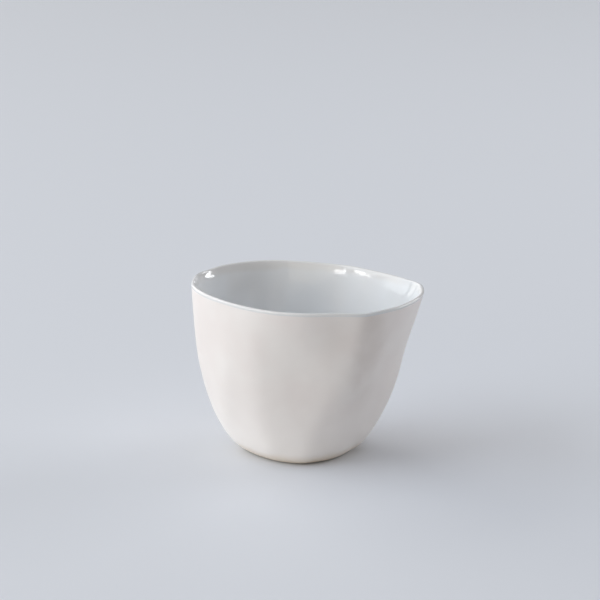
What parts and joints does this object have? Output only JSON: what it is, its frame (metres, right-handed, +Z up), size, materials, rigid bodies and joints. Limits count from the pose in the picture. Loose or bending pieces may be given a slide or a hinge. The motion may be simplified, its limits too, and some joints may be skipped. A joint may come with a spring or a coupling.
{
  "type": "dip bowl",
  "caption": "Small hand-pinched porcelain dip bowl with a flat foot, soft facets, an uneven thin lip pulled out to a corner, and a clear glaze lining.",
  "frame": {"origin": "centre of the flat foot, on the surface that the bowl stands on", "axes": "+Z up out of the bowl's mouth, +X towards the pulled-out corner of the lip, +Y away from the viewer of the picture"},
  "size_m": [0.0833, 0.0777, 0.0608],
  "materials": {
    "porcelain": "satin",
    "glaze": "gloss"
  },
  "bodies": {
    "root": {"porcelain_body": "porcelain", "glaze_liner": "glaze"}
  },
  "joints": []
}
